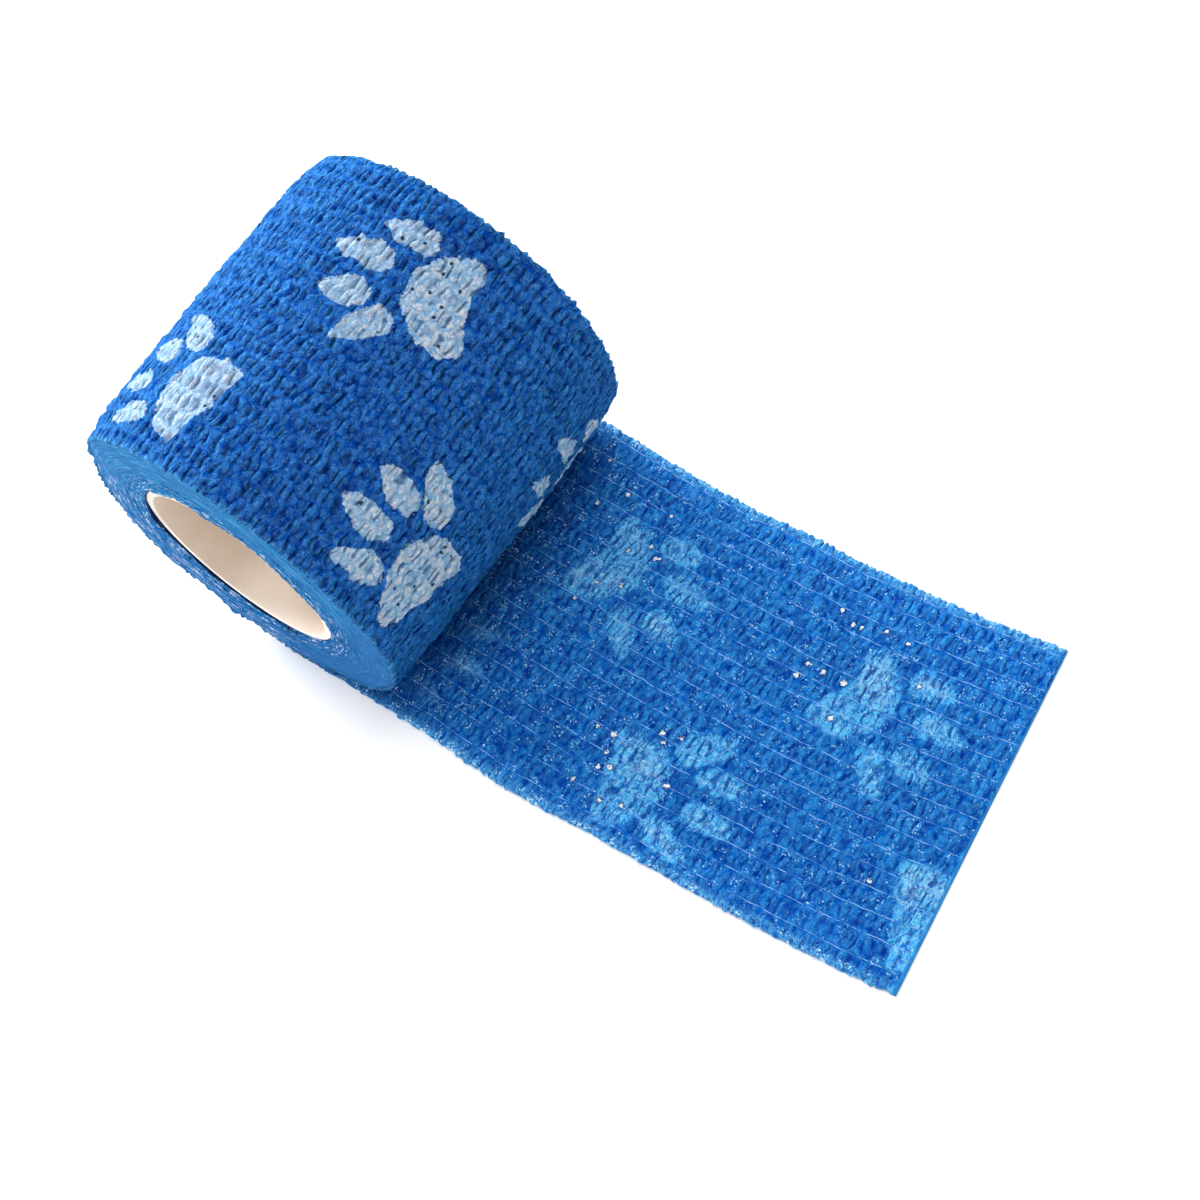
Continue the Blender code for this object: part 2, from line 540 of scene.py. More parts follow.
def face_corners(mesh):
    """The point at each corner of each face, and the first corner and the face of each."""
    points = np.empty(len(mesh.loops), np.int32)
    mesh.loops.foreach_get("vertex_index", points)
    starts = np.empty(len(mesh.polygons), np.int32)
    mesh.polygons.foreach_get("loop_start", starts)
    face = np.zeros(len(points), np.int64)
    face[starts] = 1
    return points, starts, np.cumsum(face) - 1


def give_folds(obj, phase, across, back_phase, back_across):
    """Where each point is among the furrows (whole numbers) and among the threads (whole numbers)."""
    p = np.concatenate([phase.ravel(), back_phase.ravel()])
    lane = (FIRST_THREAD - np.concatenate([across.ravel(), back_across.ravel()])) / THREAD_PITCH
    give(obj, "folds", np.stack([p, lane, 0 * p], -1))


def lay_out(obj, u, v):
    """A texture layout, for whoever bakes these looks onto an image."""
    layer = obj.data.uv_layers.new(name="OFBake")
    uv = np.stack([np.clip(u, 0, 1), np.clip(v, 0, 1)], -1).astype(np.float32)
    layer.data.foreach_set("uv", uv.ravel())


def lay_out_sheet(obj, place, over, hidden, bands):
    """The fine face of a sheet laid out in bands, one above another, and its other face in the last, thin band."""
    points, starts, face = face_corners(obj.data)
    x, y, under = place[points], over[points], hidden[points]
    count = len(bands) - 1
    first = np.minimum.reduceat(x, starts)[face]
    all_under = np.minimum.reduceat(under.astype(int), starts)[face] > 0
    band = np.where(all_under, count, np.clip(np.floor(first * count + 1e-6), 0, count - 1))
    band = band.astype(int)
    x = np.where(all_under, x, x * count - band)
    rim = under & ~all_under
    u = np.where(rim, x, 0.003 + 0.994 * x)
    y = np.where(rim, y, 0.006 + 0.988 * y)
    low = np.array([b[0] for b in bands])[band]
    high = np.array([b[1] for b in bands])[band]
    lay_out(obj, u, low + (high - low) * y)


def grid_faces(n, m, first, flip=False):
    i, j = np.meshgrid(np.arange(n - 1), np.arange(m - 1), indexing="ij")
    a = first + i * m + j
    quads = np.stack([a, a + m, a + m + 1, a + 1], -1).reshape(-1, 4)
    return quads[:, ::-1] if flip else quads


def shell(name, upper, lower, bands):
    """A closed sheet: a fine face of points and a coarser one, joined round the four edges."""
    n, m = upper.shape[:2]
    a, b = lower.shape[:2]
    first = n * m
    top = np.arange(n * m).reshape(n, m)
    low = first + np.arange(a * b).reshape(a, b)
    faces = grid_faces(n, m, 0).tolist() + grid_faces(a, b, first, True).tolist()

    def join(fine, coarse, flip):
        k = (len(fine) - 1) // (len(coarse) - 1)
        for c in range(len(coarse) - 1):
            run = fine[c * k : c * k + k + 1]
            half = k // 2
            rim = [
                [run[q], run[q + 1], coarse[c] if q < half else coarse[c + 1]]
                for q in range(k)
            ]
            rim.append([run[half], coarse[c + 1], coarse[c]])
            faces.extend([f[::-1] for f in rim] if flip else rim)

    join(top[:, 0].tolist(), low[:, 0].tolist(), False)
    join(top[:, -1].tolist(), low[:, -1].tolist(), True)
    join(top[0].tolist(), low[0].tolist(), True)
    join(top[-1].tolist(), low[-1].tolist(), False)
    points = np.concatenate([upper.reshape(-1, 3), lower.reshape(-1, 3)])
    obj = build(name, placed(points), faces)
    places = [np.meshgrid(np.linspace(0, 1, p), np.linspace(0, 1, q), indexing="ij") for p, q in ((n, m), (a, b))]
    place, over = (np.concatenate([g[k].ravel() for g in places]) for k in (0, 1))
    lay_out_sheet(obj, place, over, np.arange(len(points)) >= first, bands)
    return obj


def every(values, rows, cols):
    """Values of a fine grid at the places of a coarser one."""
    return values[np.ix_(rows, cols)]


def edge_shape(distance, across, phase, seed):
    """How far the cut edge is scalloped, out at each swell and in at each furrow, and how much the face rounds off there."""
    side = np.sign(across)
    left = HALF - np.abs(across)
    swell = np.sin(math.pi * (phase - np.floor(phase)))
    strength = 0.2 + 1.1 * chance(np.round(phase), side * 7, seed)
    uneven = chance(np.floor(phase), side * 5, seed + 4) - 0.5
    out = (
        0.20 * (swell - 0.7) * strength
        + 0.24 * uneven * swell
        + 0.26 * noise(distance / 0.55, side * 3.0, seed + 1)
        + 0.18 * noise(distance / 2.9, side * 5.0, seed + 2)
    )
    drop = np.clip(1 - left / 0.5, 0, 1) ** 2
    return side * out * smooth(1 - left / 1.4), drop


def outer_turn():
    """The last full turn on the roll: its printed face, puckered, with the plain back against the wound turns."""
    end_angle = 2 * math.pi - 0.09
    length = ROLL_RADIUS * end_angle - TURN * end_angle**2 / (4 * math.pi)
    v = columns(COARSE_LANE)
    distance, phase = furrow_rows(length, 5, v, 3)
    along = -distance
    phase = np.broadcast_to(phase[:, None], along.shape)
    across = np.broadcast_to(v, along.shape)
    side = np.sign(across)
    height, high = relief(distance, across, phase, 3, 0.41, 1.0)
    edge_flat = 0.45 + 0.55 * smooth((HALF - np.abs(across)) / 2.2)
    height = height * edge_flat
    scallop, drop = edge_shape(distance, across, phase, 61)
    angle = turned(along)
    left = HALF - np.abs(across)
    y = across + scallop - side * roll_edge(angle, side, "in") * smooth(1 - left / 9)
    sink = roll_edge(angle, side, "down") * smooth(1 - left / 6)
    bulge = 0.28 * (1 - (across / 23) ** 2)
    bulge += 0.10 * noise(distance / 12.0, across / 11.0, 21)
    radius = roll_radius(angle) + 0.06 + height - sink - 0.22 * drop + bulge
    points = on_roll(angle, y, radius)
    # The roll's weight presses its underside flat, and the cloth leaves it there.
    points[..., 2] = np.maximum(points[..., 2], 0.03 + 0.05 * (1 - high.clip(0, 1)))
    rows = np.arange(0, len(along), 5)
    cols = np.arange(0, len(v), 4)
    back_angle, back_y = every(angle, rows, cols), every(y, rows, cols)
    back = on_roll(
        back_angle, back_y, roll_radius(back_angle) - 0.50 - every(sink, rows, cols)
    )
    back[..., 2] = np.maximum(back[..., 2], 0.2)
    obj = shell("outer_turn", points, back, ((0.0, 0.465), (0.47, 0.935), (0.94, 1.0)))
    where = np.stack([along, across, high], -1).reshape(-1, 3)
    where_back = np.stack(
        [
            every(along, rows, cols),
            every(across, rows, cols),
            np.full(back_angle.shape, 0.5),
        ],
        -1,
    ).reshape(-1, 3)
    give(obj, "cloth", np.concatenate([where, where_back]))
    give_folds(obj, phase, across, every(phase, rows, cols), every(across, rows, cols))
    paw = paw_distance(along, across, phase, 300, 1.0).ravel()
    give(obj, "paw", np.concatenate([paw, np.full(len(where_back), 6.0)]))
    return obj


def loose_end():
    """The end drawn out along the surface: its plain inner face is up, its printed face is down."""
    v = columns(FINE_LANE)
    distance, phase = furrow_rows(LOOSE_LENGTH, 8, v, 5)
    phase = np.broadcast_to(phase[:, None], distance.shape)
    across = np.broadcast_to(v, distance.shape)
    side = np.sign(across)
    calm = 1 - 0.45 * smooth((distance - 60) / 30)
    height, high = relief(distance, across, phase, 5, 0.22, 0.5)
    scallop, drop = edge_shape(distance, across, phase, 71)
    along = distance * (LOOSE_LENGTH + 0.2 - 0.0075 * across) / LOOSE_LENGTH
    out = np.where(
        side < 0, from_table(LOOSE_EDGES, 1, along), from_table(LOOSE_EDGES, 2, along)
    )
    left = HALF - np.abs(across)
    y = across + scallop + side * out * smooth(1 - left / 8)
    end_drop = np.clip(1 - (LOOSE_LENGTH - distance) / 0.35, 0, 1) ** 2
    lift = smooth(along / 7.0)
    thin = 1 - 0.42 * smooth((distance - 84) / 10.5)
    # Where the roll still sits on it the cloth is pressed thin.
    under_roll = 0.14 + along**2 / 52.0
    top = 0.16 + 0.66 * lift * thin + height * calm * lift - 0.16 * drop
    top += lift * thin * 0.12 * noise(along / 11.0, across / 13.0, 31)
    top = np.maximum(top - 0.22 * end_drop, 0.13)
    top = np.minimum(top, under_roll)
    px, py = loose_xy(along, y)
    upper = np.stack([px, py, top], -1)
    rows, cols = np.arange(0, len(distance), 4), np.arange(0, len(v), 2)
    below = np.clip(-every(height, rows, cols), 0, 1) * 0.45 * every(lift, rows, cols)
    bottom = 0.02 + below + 0.10 * every(drop, rows, cols)
    bottom = np.minimum(bottom, every(top, rows, cols) - 0.10)
    lower = np.stack([every(px, rows, cols), every(py, rows, cols), bottom], -1)
    obj = shell("loose_end", upper, lower, ((0.0, 0.62), (0.64, 1.0)))
    where = np.stack([along, across, high], -1).reshape(-1, 3)
    low_where = np.stack(
        [every(along, rows, cols), every(across, rows, cols), 1 - 0.5 * below], -1
    ).reshape(-1, 3)
    give(obj, "cloth", np.concatenate([where, low_where]))
    give_folds(obj, phase, across, every(phase, rows, cols), every(across, rows, cols))
    paw = paw_distance(along, across, phase, 300, 0.4)
    give(obj, "paw", np.concatenate([paw.ravel(), every(paw, rows, cols).ravel()]))
    hole = hole_distance(along, across).ravel()
    give(obj, "hole", np.concatenate([hole, np.full(len(low_where), 3.0)]))
    give(
        obj, "printed", np.concatenate([np.zeros(len(where)), np.ones(len(low_where))])
    )
    return obj, (along, across, top)


def elastic_threads(surface):
    """Fine elastic threads along the loose end, half sunk in its inner face and bridging its furrows."""
    along, across, top = surface
    points, faces, where = [], [], []
    sides = 6
    s = np.arange(5.0, LOOSE_LENGTH + 0.01, 0.34)
    v = across[0]
    for k in range(THREADS):
        line = FIRST_THREAD - k * THREAD_PITCH
        wander = 0.15 * noise(s / 5.0, k * 3.3, 81) + 0.09 * noise(s / 1.5, k * 1.7, 82)
        place = line + wander
        j = int(np.argmin(np.abs(v - line)))
        ground = np.interp(s, along[:, j], top[:, j])
        kernel = np.hanning(7)[1:-1]
        level = np.convolve(
            np.pad(ground, 2, mode="edge"), kernel / kernel.sum(), "valid"
        )
        dip = np.clip(noise(s / 1.0, k * 4.1, 83) - 0.16, 0, 1) * 0.26
        dip = dip * (1 - 0.5 * smooth((s - 60) / 30))
        z = np.maximum(level + 0.045 - dip, 0.1)
        out = from_table(LOOSE_EDGES, 2 if line > 0 else 1, s)
        place = place + (1 if line > 0 else -1) * out * smooth(1 - (HALF - abs(line)) / 8)
        r = THREAD_RADIUS * (1 + 0.35 * noise(s / 0.8, k * 2.3, 84))
        for q in range(sides):
            a = 2 * math.pi * q / sides
            px, py = loose_xy(s, place + r * math.cos(a))
            points.append(np.stack([px, py, z + r * math.sin(a)], -1))
            where.append(np.stack([s, place, 0 * s + k], -1))
        base = k * sides * len(s)
        for q in range(sides):
            p0, p1 = base + q * len(s), base + (q + 1) % sides * len(s)
            i = np.arange(len(s) - 1)
            faces += np.stack([p0 + i, p0 + i + 1, p1 + i + 1, p1 + i], -1).tolist()
        faces.append([base + q * len(s) for q in range(sides)])
        faces.append([base + q * len(s) + len(s) - 1 for q in reversed(range(sides))])
    obj = build("elastic_threads", placed(np.concatenate(points)), faces)
    give(obj, "cloth", np.concatenate(where))
    return obj


def wound_turns():
    """Everything inside the last turn: a thick ring whose end faces are the edges of its wound turns."""
    around, across_rows = 480, 80
    angle = np.arange(around) / around * 2 * math.pi
    step = smooth((angle - (2 * math.pi - 0.17)) / 0.15)
    outer = roll_radius(angle) - 0.53 + step * TURN
    t = np.linspace(0, 1, across_rows + 1)[:, None]
    rings, where, grooves = [], [], []

    def ring(y, r, tag, groove):
        rings.append(
            np.stack([-np.sin(angle) * r, y, CENTRE_Z - np.cos(angle) * r], -1)
        )
        where.append(np.stack([r, angle * 20.0, np.full_like(r, tag)], -1))
        grooves.append(groove)

    def face(side):
        sink, stand_in = roll_edge(angle, side, "down"), roll_edge(angle, side, "in")
        rho = BORE + ((outer - sink)[None] - BORE) * t
        theta = np.broadcast_to(angle, rho.shape)

        def around_noise(scale_r, scale_a, seed):
            """Noise that joins up round the ring."""
            a = theta * 20.0 / scale_a
            full = 2 * math.pi * 20.0 / scale_a
            w = smooth((theta / (2 * math.pi) - 0.9) / 0.1)
            return (
                noise(rho / scale_r, a, seed) * (1 - w)
                + noise(rho / scale_r, a - full, seed) * w
            )

        seed = 200 + side * 20
        wobble = 0.30 * around_noise(1.7, 5.0, seed)
        wobble += 0.12 * around_noise(0.8, 1.3, seed + 1)
        coil = (rho - BORE) / TURN + theta / (2 * math.pi) + wobble
        turn = np.floor(coil)
        crest = np.sqrt(np.clip(np.sin(math.pi * (coil - turn)), 0, 1))
        near_core = 1 - smooth((rho - BORE - 2.2) / 3.2)
        stand = (
            0.13 * noise(turn * 3.7, theta * 20 / 7.0, seed + 2)
            + 0.10 * around_noise(0.5, 0.9, seed + 3)
            + 0.14 * around_noise(3.0, 9.0, seed + 4)
        )
        out = stand * (0.55 + 0.9 * near_core)
        out = out - (0.05 + 0.15 * near_core) * (1 - crest)
        out = out - 0.14 * smooth((t - 0.97) / 0.03)
        out = out + 0.12 * smooth(1 - (rho - BORE) / 2.0)
        out = out - 0.05 * smooth(1 - (rho - BORE) / 0.12)
        return rho, side * (HALF - 0.05 - stand_in * t**2 + out), crest

    near, far = face(-1), face(1)
    plain = np.full(around, 0.5)
    for i in range(across_rows + 1):
        ring(near[1][i], near[0][i], 0, near[2][i])
    middle = np.minimum(near[0][-1], far[0][-1])
    for f in np.linspace(0.02, 0.98, 7):
        r = near[0][-1] if f < 0.1 else far[0][-1] if f > 0.9 else middle
        ring(np.full(around, -24.0 + 48.0 * f), r, 1, plain)
    for i in reversed(range(across_rows + 1)):
        ring(far[1][i], far[0][i], 2, far[2][i])
    for y in np.linspace(24.0, -24.0, 7):
        ring(np.full(around, y), np.full(around, BORE), 3, plain)
    rows = len(rings)
    i, j = np.meshgrid(np.arange(rows), np.arange(around), indexing="ij")
    nxt_i, nxt_j = (i + 1) % rows, (j + 1) % around
    faces = np.stack(
        [
            i * around + j,
            nxt_i * around + j,
            nxt_i * around + nxt_j,
            i * around + nxt_j,
        ],
        -1,
    ).reshape(-1, 4)
    obj = build("wound_turns", placed(np.concatenate(rings)), faces.tolist())
    tags = np.concatenate(where)
    give(obj, "coil", tags)
    give(obj, "groove", np.concatenate(grooves))
    # Where painted shade falls on the end faces: low down by the loose end, and low down on the other side
    give(obj, "light_and_shade_side", np.tile(np.cos(angle - 5.5), rows))
    give(obj, "shade_side", np.tile(np.cos(angle - 0.95), rows))
    # Texture layout: each end face as a disc, and the hidden walls in a strip.
    corner, _, _ = face_corners(obj.data)
    row = (corner // around).reshape(-1, 4)
    r, th = tags[corner, 0], angle[corner % around].reshape(-1, 4)
    th = np.where((np.ptp(th, axis=1) > 3)[:, None] & (th < 3), th + 2 * math.pi, th)
    th = th.ravel()
    last_far = 2 * across_rows + 8
    is_near = (row.max(1) <= across_rows).repeat(4)
    is_far = (
        (row.min(1) >= across_rows + 8) & (row.max(1) <= last_far)
    ).repeat(4)
    scale = 0.245 / 27.5
    u = np.where(is_near, 0.25, 0.75) + r * scale * np.cos(th)
    v = 0.25 + r * scale * np.sin(th)
    walls = ~(is_near | is_far)
    row = row.ravel() + np.where((np.ptp(row, axis=1) > 9).repeat(4) & (row.ravel() == 0), rows, 0)
    u = np.where(walls, th / (2 * math.pi), u)
    v = np.where(walls, 0.55 + 0.4 * row / rows, v)
    lay_out(obj, u, v)
    return obj


def core_tube():
    """The board tube, with its cut rims very slightly eased."""
    around = 200
    r0, r1, h, e = CORE_RADIUS - CORE_WALL, CORE_RADIUS + 0.14, CORE_HALF, 0.12
    profile = []
    for sy in (-1, 1):
        arc = [
            (r0, sy * (h - e)),
            (r0 + 0.3 * e, sy * (h - 0.3 * e)),
            (r0 + e, sy * h),
            (r0 + 0.35, sy * h),
            (r1 - 0.35, sy * h),
            (r1 - e, sy * h),
            (r1 - 0.3 * e, sy * (h - 0.3 * e)),
            (r1, sy * (h - e)),
        ]
        walls = [(r1, -sy * f * h) for f in (-0.8, -0.4, 0, 0.4, 0.8)]
        if sy < 0:
            profile += arc + walls
        else:
            profile += arc[::-1] + [(r0, sy * f * h) for f in (0.8, 0.4, 0, -0.4, -0.8)]
    a = np.arange(around) / around * 2 * math.pi
    rings = [
        np.stack([np.sin(a) * r, np.full(around, y), CENTRE_Z - np.cos(a) * r], -1)
        for r, y in profile
    ]
    rows = len(rings)
    i, j = np.meshgrid(np.arange(rows), np.arange(around), indexing="ij")
    faces = np.stack(
        [
            i * around + j,
            (i + 1) % rows * around + j,
            (i + 1) % rows * around + (j + 1) % around,
            i * around + (j + 1) % around,
        ],
        -1,
    ).reshape(-1, 4)
    obj = build("core_tube", placed(np.concatenate(rings)), faces.tolist())
    where = [
        np.stack([np.full(around, r), np.full(around, y), a * CORE_RADIUS], -1)
        for r, y in profile
    ]
    give(obj, "board", np.concatenate(where))
    # Where painted light and shade fall round the tube
    give(obj, "light_and_shade_side", np.tile(np.cos(a - 1.0), rows))
    return obj


# ---------------------------------------------------------------- materials
class Nodes:
    """Short names for building a material's node tree."""

    def __init__(self, name):
        self.material = bpy.data.materials.new(name)
        self.material.use_nodes = True
        self.tree = self.material.node_tree
        self.shader = self.tree.nodes["Principled BSDF"]

    def add(self, kind, inputs=(), **settings):
        node = self.tree.nodes.new(kind)
        for key, value in settings.items():
            setattr(node, key, value)
        for key, value in dict(inputs).items():
            self.put(node.inputs[key], value)
        return node

    def put(self, socket, value):
        if isinstance(value, bpy.types.NodeSocket):
            self.tree.links.new(value, socket)
        elif value is not None:
            socket.default_value = value

    def attribute(self, name):
        return self.add("ShaderNodeAttribute", attribute_name=name)

    def math(self, operation, a, b=None, c=None, clamp=False):
        node = self.add("ShaderNodeMath", operation=operation, use_clamp=clamp)
        for i, value in enumerate((a, b, c)):
            self.put(node.inputs[i], value)
        return node.outputs[0]

    def times(self, *values):
        out = values[0]
        for value in values[1:]:
            out = self.math("MULTIPLY", out, value)
        return out

    def range(self, value, low, high, to_low=0.0, to_high=1.0):
        node = self.add(
            "ShaderNodeMapRange", interpolation_type="SMOOTHSTEP", clamp=True
        )
        for key, v in (
            ("Value", value),
            ("From Min", low),
            ("From Max", high),
            ("To Min", to_low),
            ("To Max", to_high),
        ):
            self.put(node.inputs[key], v)
        return node.outputs[0]

    def mix(self, share, a, b, blend="MIX"):
        node = self.add("ShaderNodeMix", data_type="RGBA", blend_type=blend)
        self.put(node.inputs[0], share)
        self.put(node.inputs[6], a)
        self.put(node.inputs[7], b)
        return node.outputs[2]

    def noise(self, vector, scale, detail=2.0, roughness=0.5, out="Fac"):
        node = self.add(
            "ShaderNodeTexNoise",
            {
                "Vector": vector,
                "Scale": scale,
                "Detail": detail,
                "Roughness": roughness,
            },
        )
        return node.outputs[out]

    def cells(self, vector, scale):
        """Distance to the nearest of a scatter of points, and two numbers that belong to that point."""
        node = self.add(
            "ShaderNodeTexVoronoi",
            {"Vector": vector, "Scale": scale},
            voronoi_dimensions="2D",
        )
        pick = self.add("ShaderNodeSeparateColor", {0: node.outputs["Color"]})
        return node.outputs["Distance"], pick.outputs[0], pick.outputs[1]

    def scaled(self, vector, by):
        node = self.add("ShaderNodeVectorMath", operation="MULTIPLY")
        self.put(node.inputs[0], vector)
        self.put(node.inputs[1], by)
        return node.outputs[0]

    def creases(self, folds, plane):
        """The mask of each furrow, from 0 to 1, for its painted shade, and of the crests beside it, for their
        painted highlight.
        """
        parts = self.add("ShaderNodeSeparateXYZ", {0: folds})
        bend = self.math("SUBTRACT", self.noise(plane, 1.5, 2.0, 0.6), 0.5)
        at = self.math("ADD", parts.outputs[0], self.times(bend, 0.35))
        near = self.math("ROUND", at)
        off = self.math("ABSOLUTE", self.math("SUBTRACT", at, near))
        lane = self.math("FLOOR", parts.outputs[1])
        cell = self.add("ShaderNodeCombineXYZ", {0: near, 1: lane})
        pick = self.add(
            "ShaderNodeTexWhiteNoise",
            {"Vector": cell.outputs[0]},
            noise_dimensions="2D",
        ).outputs["Value"]
        width = self.math("MULTIPLY_ADD", pick, 0.14, 0.12)
        line = self.range(self.math("DIVIDE", off, width), 1.0, 0.0)
        share = self.math("FRACT", parts.outputs[1])
        share = self.math("MINIMUM", share, self.math("SUBTRACT", 1.0, share))
        held = self.range(share, 0.02, 0.26)
        strength = self.range(pick, 0.10, 0.55)
        beside = self.math("SUBTRACT", off, width)
        crest = self.range(beside, 0.20, 0.06)
        crest = self.times(crest, self.range(beside, -0.06, 0.03))
        return self.times(line, held, strength), self.times(crest, held, strength)

    def moved(self, vector, by):
        node = self.add("ShaderNodeVectorMath", operation="ADD")
        self.put(node.inputs[0], vector)
        self.put(node.inputs[1], by)
        return node.outputs[0]


def rgb(r, g, b):
    """A colour given as it looks, from 0 to 255, as the linear values that a shader takes."""

    def linear(c):
        c /= 255
        return c / 12.92 if c <= 0.04045 else ((c + 0.055) / 1.055) ** 2.4

    return (linear(r), linear(g), linear(b), 1.0)


def cloth_material(name, inner):
    """The bandage cloth. inner is False for the printed face of the roll and True for the loose end,
    whose upper face is the inner one."""
    n = Nodes(name)
    cloth = n.attribute("cloth")
    parts = n.add("ShaderNodeSeparateXYZ", {0: cloth.outputs["Vector"]})
    along, across, high = parts.outputs
    plane = n.scaled(cloth.outputs["Vector"], (1.0, 1.0, 0.0))
    # Noise pulls the pattern about, so that no cell or fleck keeps a straight side.
    pull = n.noise(plane, 1.1, 3.0, 0.6, out="Color")
    pull = n.scaled(n.moved(pull, (-0.5, -0.5, -0.5)), (0.9, 0.9, 0.0))
    flat = n.moved(plane, pull)
    left = n.math("SUBTRACT", HALF, n.math("ABSOLUTE", across))
    mottle = n.noise(flat, 0.5, 3.0, 0.6)
    fibre = n.noise(n.scaled(flat, (1.0, 0.55, 1.0)), 2.4, 4.0, 0.65)
    fine = n.noise(plane, 6.0, 3.0, 0.65)
    # Crumples: rounded lumps with creases between them, and smaller ones upon them
    lump_off, lump, lump_b = n.cells(n.scaled(flat, (1.0, 0.75, 1.0)), 1.25)
    nub_off, nub, _ = n.cells(flat, 2.9)

    if inner:
        deep, main, light = rgb(0, 54, 152), rgb(0, 108, 204), rgb(80, 184, 246)
    else:
        deep, main, light = rgb(0, 36, 126), rgb(0, 83, 188), rgb(84, 164, 238)
    # Painted shade in the furrows and painted highlight on the ridges, by the height of the relief
    colour = n.mix(n.range(high, 0.30, 1.0), deep, main)
    painted_ridge_highlight = n.times(n.range(high, 0.95, 1.40), n.range(fine, 0.42, 0.58), 0.55)
    colour = n.mix(painted_ridge_highlight, colour, light)
    crease, crest = n.creases(n.attribute("folds").outputs["Vector"], plane)
    # Painted highlight on the tops of the lumps
    colour = n.mix(n.range(lump_off, 0.62, 0.28, 0.0, 0.35), colour, light)
    colour = n.mix(n.range(fibre, 0.50, 0.72, 0.0, 0.75), colour, light)
    colour = n.mix(n.range(lump_b, 0.40, 0.95, 0.0, 0.5), colour, deep)
    colour = n.mix(n.range(fine, 0.52, 0.36, 0.0, 0.6), colour, deep)
    colour = n.mix(n.range(mottle, 0.38, 0.72, 0.0, 0.3), colour, deep)
    if inner:
        blot = n.noise(n.scaled(flat, (1.0, 0.6, 1.0)), 1.15, 3.0, 0.6)
        colour = n.mix(n.range(blot, 0.50, 0.64, 0.0, 0.5), colour, deep)
    edge = n.range(left, 1.9, 0.1) if inner else n.range(left, 0.7, 0.0, 0.0, 0.6)
    share = n.times(edge, n.range(fibre, 0.42, 0.58, 0.1, 0.9))
    colour = n.mix(share, colour, rgb(96, 182, 236))
    # Painted highlight on the crests beside the furrows, broken up by the fibres
    crest = n.times(crest, n.range(fibre, 0.40, 0.60))
    colour = n.mix(n.times(crest, 0.35 if inner else 0.40), colour, light)
    # Painted shade in each furrow
    colour = n.mix(n.times(crease, 0.20 if inner else 0.42), colour, rgb(0, 26, 96))
    if inner:
        # Painted shadow of the roll: deeper colour where the cloth leaves it, and painted shade towards the near
        # edge
        colour = n.mix(n.range(along, 6.0, 28.0, 0.5, 0.0), colour, rgb(0, 40, 124))
        colour = n.mix(n.range(across, -2.0, -18.0, 0.0, 0.18), colour, deep)
    else:
        # Painted shade low on the roll, by the nip with the loose end
        colour = n.mix(n.range(along, -124.0, -140.0, 0.0, 0.3), colour, rgb(0, 32, 112))
    # Painted glints: pale flecks where fibres catch the light
    glint = n.noise(plane, 3.1, 3.0, 0.6)
    patch = n.noise(plane, 0.55, 3.0, 0.65)
    bar = n.range(patch, 0.40, 0.64, 0.73 if inner else 0.74, 0.545 if inner else 0.59)
    if inner:
        bar = n.math("SUBTRACT", bar, n.range(along, 14.0, 60.0, 0.02, 0.0))
        bar = n.math("SUBTRACT", bar, n.times(edge, 0.05))
    fleck = n.range(n.math("SUBTRACT", glint, bar), 0.0, 0.06)
    fleck = n.times(fleck, n.range(fine, 0.38, 0.58, 0.45, 1.0), 1.0 if inner else 0.75)
    spark = n.range(n.math("SUBTRACT", glint, bar), 0.05, 0.12)
    pale = n.mix(
        spark,
        rgb(130, 214, 254) if inner else rgb(128, 186, 242),
        rgb(232, 244, 255) if inner else rgb(190, 222, 250),
    )
    colour = n.mix(fleck, colour, pale)

    # Print. Its edge breaks up over the swells. Painted shade darkens it in the furrows and creases, and painted
    # highlight lightens its lump tops and crests.
    paw = n.attribute("paw").outputs["Fac"]
    ragged = n.math("SUBTRACT", n.noise(plane, 1.6, 3.0, 0.65), 0.5)
    inked = n.range(n.math("ADD", paw, n.times(ragged, 1.3)), 0.10, -0.10)
    # Painted highlight on the tops of the lumps
    paint = n.mix(n.range(lump_off, 0.58, 0.15), rgb(152, 198, 236), rgb(240, 248, 255))
    paint = n.mix(n.range(lump, 0.30, 0.90, 0.0, 0.5), paint, rgb(166, 202, 236))
    paint = n.mix(n.range(lump_b, 0.62, 0.90, 0.0, 0.5), paint, rgb(244, 234, 232))
    paint = n.mix(n.range(fine, 0.55, 0.38, 0.0, 0.6), paint, rgb(86, 138, 192))
    paint = n.mix(n.range(nub, 0.50, 0.90, 0.0, 0.4), paint, rgb(110, 164, 216))
    # Painted shade in the furrows and creases, painted highlight on the crests
    paint = n.mix(n.range(high, 0.0, 0.75, 0.70, 0.0), paint, rgb(50, 104, 164))
    paint = n.mix(n.times(crest, 0.6), paint, rgb(242, 250, 255))
    paint = n.mix(n.times(crease, 0.58), paint, rgb(54, 98, 152))
    if inner:
        printed = n.attribute("printed").outputs["Fac"]
        # Seen from the back the print is a lighter, brighter blue; its crumples are painted, with painted
        # highlights on wrinkles and crests and painted shade in folds and furrows.
        soft = n.noise(n.scaled(flat, (1.0, 0.7, 1.0)), 0.9, 3.0, 0.6)
        show = n.mix(n.range(soft, 0.36, 0.62), rgb(2, 112, 208), rgb(58, 174, 240))
